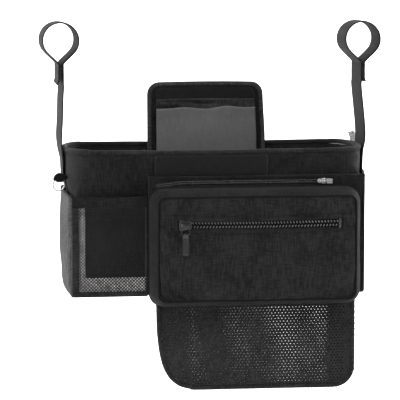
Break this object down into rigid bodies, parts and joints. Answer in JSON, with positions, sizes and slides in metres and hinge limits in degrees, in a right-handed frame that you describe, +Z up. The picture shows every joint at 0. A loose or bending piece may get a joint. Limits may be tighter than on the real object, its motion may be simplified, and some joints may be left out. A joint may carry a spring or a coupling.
{
  "type": "stroller organizer bag",
  "caption": "Fabric organizer tub with two cup wells, a flapped centre pocket, zipped front pouch, mesh pocket, drop-down net and two webbing loops that hang it from a handle",
  "frame": {"origin": "on the common axis of the two handle loops, half way between them", "axes": "+X to the right as seen from the front, +Y from the front to the back, +Z up"},
  "size_m": [0.358, 0.155, 0.381],
  "materials": {
    "fabric_black": "plain woven polyester",
    "fabric_padded": "padded woven polyester",
    "binding": "edge binding tape",
    "fabric_grey": "dark grey fabric",
    "hook_loop": "hook and loop tape",
    "board": "stiffening board",
    "lining": "smooth coated lining",
    "webbing": "ribbed webbing",
    "netting": "knitted net",
    "zip_chain": "moulded zip teeth on woven tape",
    "black_metal": "black plated zinc",
    "silver_metal": "nickel plated",
    "light_webbing": "light grey webbing"
  },
  "bodies": {
    "organizer": {"back_panel": "fabric_padded", "base_board": "board", "base_panel": "fabric_padded", "flap_binding": "binding", "flap_hook_strip": "hook_loop", "flap_lining": "lining", "flap_panel": "fabric_black", "front_loop_patch": "hook_loop", "front_panel": "fabric_padded", "front_pocket_facing": "fabric_black", "front_pocket_hem": "fabric_black", "front_pocket_panel": "fabric_black", "front_pocket_zip_end_left": "fabric_black", "front_pocket_zip_end_right": "fabric_black", "left_cup_lining": "lining", "left_divider": "fabric_padded", "left_side_panel": "fabric_padded", "left_side_wrap": "fabric_grey", "left_strap": "webbing", "left_strap_patch": "hook_loop", "mouth_binding": "binding", "net_back": "binding", "net_back_panel": "netting", "net_binding": "binding", "net_front": "netting", "net_gusset": "netting", "phone_pocket_band": "fabric_black", "phone_pocket_binding": "binding", "phone_pocket_floor": "fabric_black", "phone_pocket_mesh": "netting", "pocket_divider": "fabric_black", "pocket_zip_lower_tape": "zip_chain", "pocket_zip_upper_tape": "zip_chain", "pouch_back_panel": "fabric_black", "pouch_back_piping": "binding", "pouch_front_lower": "fabric_black", "pouch_front_piping": "binding", "pouch_front_upper": "fabric_black", "pouch_gusset": "fabric_black", "pouch_hook_patch": "hook_loop", "pouch_loop_patch": "hook_loop", "pouch_zip_end_left": "fabric_black", "pouch_zip_end_right": "fabric_black", "pouch_zip_lower_tape": "zip_chain", "pouch_zip_stop": "zip_chain", "pouch_zip_upper_tape": "zip_chain", "right_cup_lining": "lining", "right_divider": "fabric_padded", "right_side_panel": "fabric_padded", "right_side_wrap": "fabric_black", "right_strap": "webbing", "right_strap_patch": "hook_loop", "rim_tab": "light_webbing", "ring_tab": "webbing"},
    "pocket_slider": {"pocket_zip_slider": "silver_metal"},
    "pocket_pull": {"pocket_zip_pull": "silver_metal"},
    "pouch_slider": {"pouch_zip_slider": "black_metal"},
    "pouch_link": {"pouch_zip_link": "black_metal"},
    "pouch_pull": {"pouch_zip_pull": "webbing"},
    "ring": {"key_ring": "silver_metal"}
  },
  "joints": [
    {"name": "pocket_zip_slide", "type": "slide", "parent": "organizer", "child": "pocket_slider", "axis": [-1, 0, 0], "range_m": [0, 0.155]},
    {"name": "pocket_pull_hinge", "type": "hinge", "parent": "pocket_slider", "child": "pocket_pull", "pos_m": [0.1065, -0.06745, -0.1414], "axis": [0, 0, -1], "range_deg": [0, 165]},
    {"name": "pouch_zip_slide", "type": "slide", "parent": "organizer", "child": "pouch_slider", "axis": [1, 0, 0], "range_m": [0, 0.148]},
    {"name": "pouch_link_hinge", "type": "hinge", "parent": "pouch_slider", "child": "pouch_link", "pos_m": [-0.039, -0.09635, -0.1818], "axis": [-1, 0, 0], "range_deg": [0, 120]},
    {"name": "pouch_pull_hinge", "type": "hinge", "parent": "pouch_link", "child": "pouch_pull", "pos_m": [-0.039, -0.09635, -0.1912], "axis": [-1, 0, 0], "range_deg": [0, 60]},
    {"name": "ring_hinge", "type": "hinge", "parent": "organizer", "child": "ring", "pos_m": [-0.1615, -0.024, -0.1404], "axis": [1, 0, 0], "range_deg": [-60, 60]}
  ]
}
